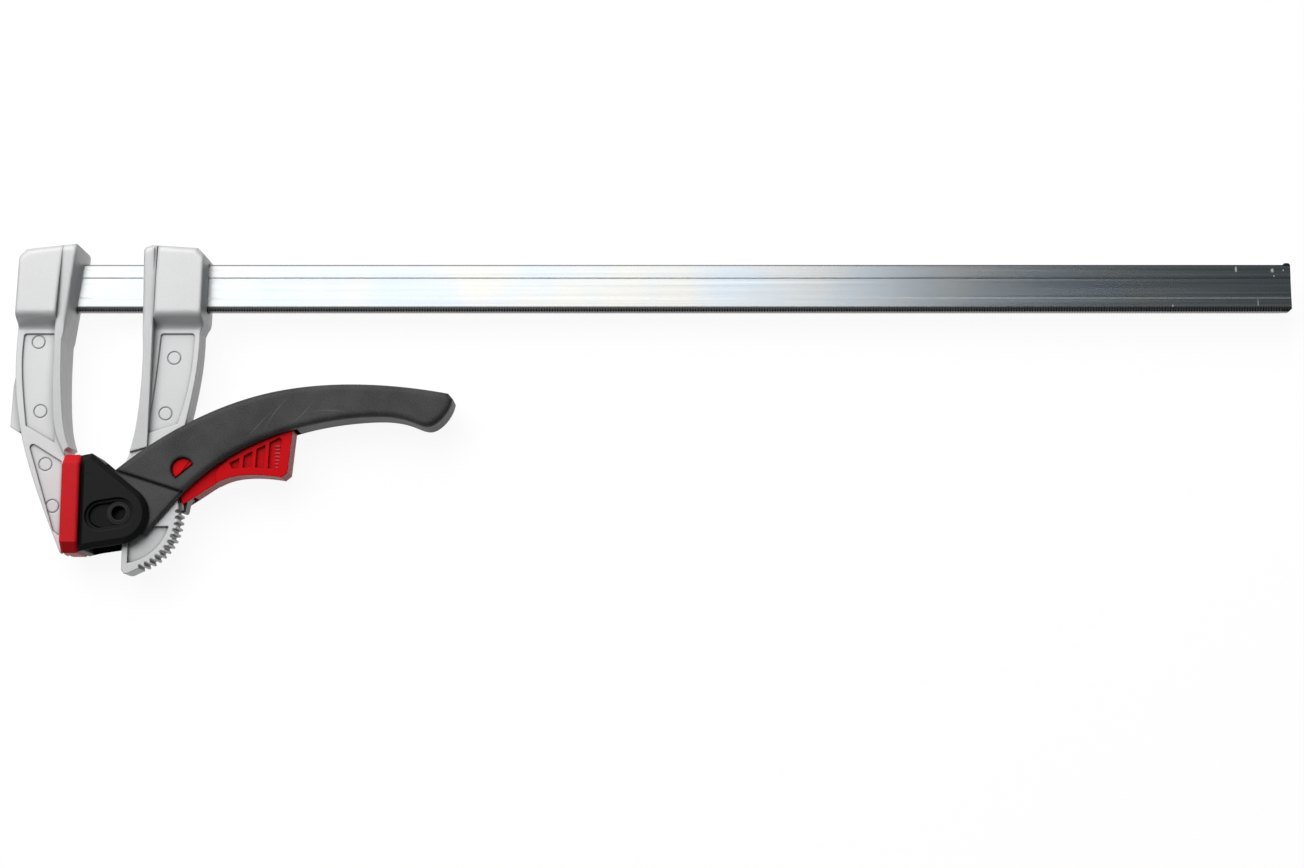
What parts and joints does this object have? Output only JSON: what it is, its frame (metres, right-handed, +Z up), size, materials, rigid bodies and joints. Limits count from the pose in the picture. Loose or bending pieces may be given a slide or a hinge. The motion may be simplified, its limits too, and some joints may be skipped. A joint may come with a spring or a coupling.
{
  "type": "quick release bar clamp",
  "caption": "Quick release bar clamp: light cast arms on a flat steel rail, with a ratchet lever, a red sprung trigger and a capped pressure pad.",
  "frame": {"origin": "centre of the fixed jaw's clamping face, on the clamp's mid-plane", "axes": "+X along the rail to its free end, +Y from the jaws to the rail, +Z up, square to the clamp's flat side"},
  "size_m": [0.5386, 0.1387, 0.025],
  "materials": {
    "zinc_steel": "bright zinc plate",
    "cast_metal": "satin silver paint",
    "dark_steel": "blackened",
    "insert_steel": "ground",
    "spring_steel": "drawn wire",
    "lever_plastic": "fine grain",
    "housing_plastic": "fine grain",
    "red_plastic": "satin"
  },
  "bodies": {
    "frame": {"rail": "zinc_steel", "fixed_arm": "cast_metal", "rail_anchor_pins": "insert_steel"},
    "slider": {"sliding_arm": "cast_metal", "bite_insert": "insert_steel", "guide_insert": "insert_steel", "pivot_bushing": "insert_steel", "lever_axle": "dark_steel", "axle_collar_near": "dark_steel", "axle_collar_far": "dark_steel", "spring_post_arm": "insert_steel"},
    "lever": {"lever": "lever_plastic", "cam_near": "dark_steel", "cam_far": "dark_steel", "trigger_spring": "spring_steel"},
    "pad": {"pressure_housing": "housing_plastic", "pressure_cap": "red_plastic", "thrust_plate": "dark_steel", "spring_post_housing": "insert_steel", "pad_return_spring": "spring_steel"},
    "trigger": {"trigger": "red_plastic", "pawl": "insert_steel", "pawl_pin": "insert_steel"}
  },
  "joints": [
    {"name": "arm_slide", "type": "slide", "parent": "frame", "child": "slider", "axis": [1, 0, 0], "range_m": [0, 0.453]},
    {"name": "lever_swing", "type": "hinge", "parent": "slider", "child": "lever", "pos_m": [0.0243, -0.0042, 0], "axis": [0, 0, 1], "range_deg": [-65, 0]},
    {"name": "pad_slide", "type": "slide", "parent": "slider", "child": "pad", "axis": [0.9882, 0.153, 0], "range_m": [0, 0.0076], "deforming": ["pad_return_spring"]},
    {"name": "trigger_squeeze", "type": "hinge", "parent": "lever", "child": "trigger", "pos_m": [0.0497, 0.0145, 0], "axis": [0, 0, 1], "range_deg": [-4.2, 3], "stiffness_Nm_per_rad": 0.2, "deforming": ["trigger_spring"]}
  ],
  "couplings": [
    {"joint": "pad_slide", "follows": "lever_swing", "m_per_rad": -0.0066}
  ]
}
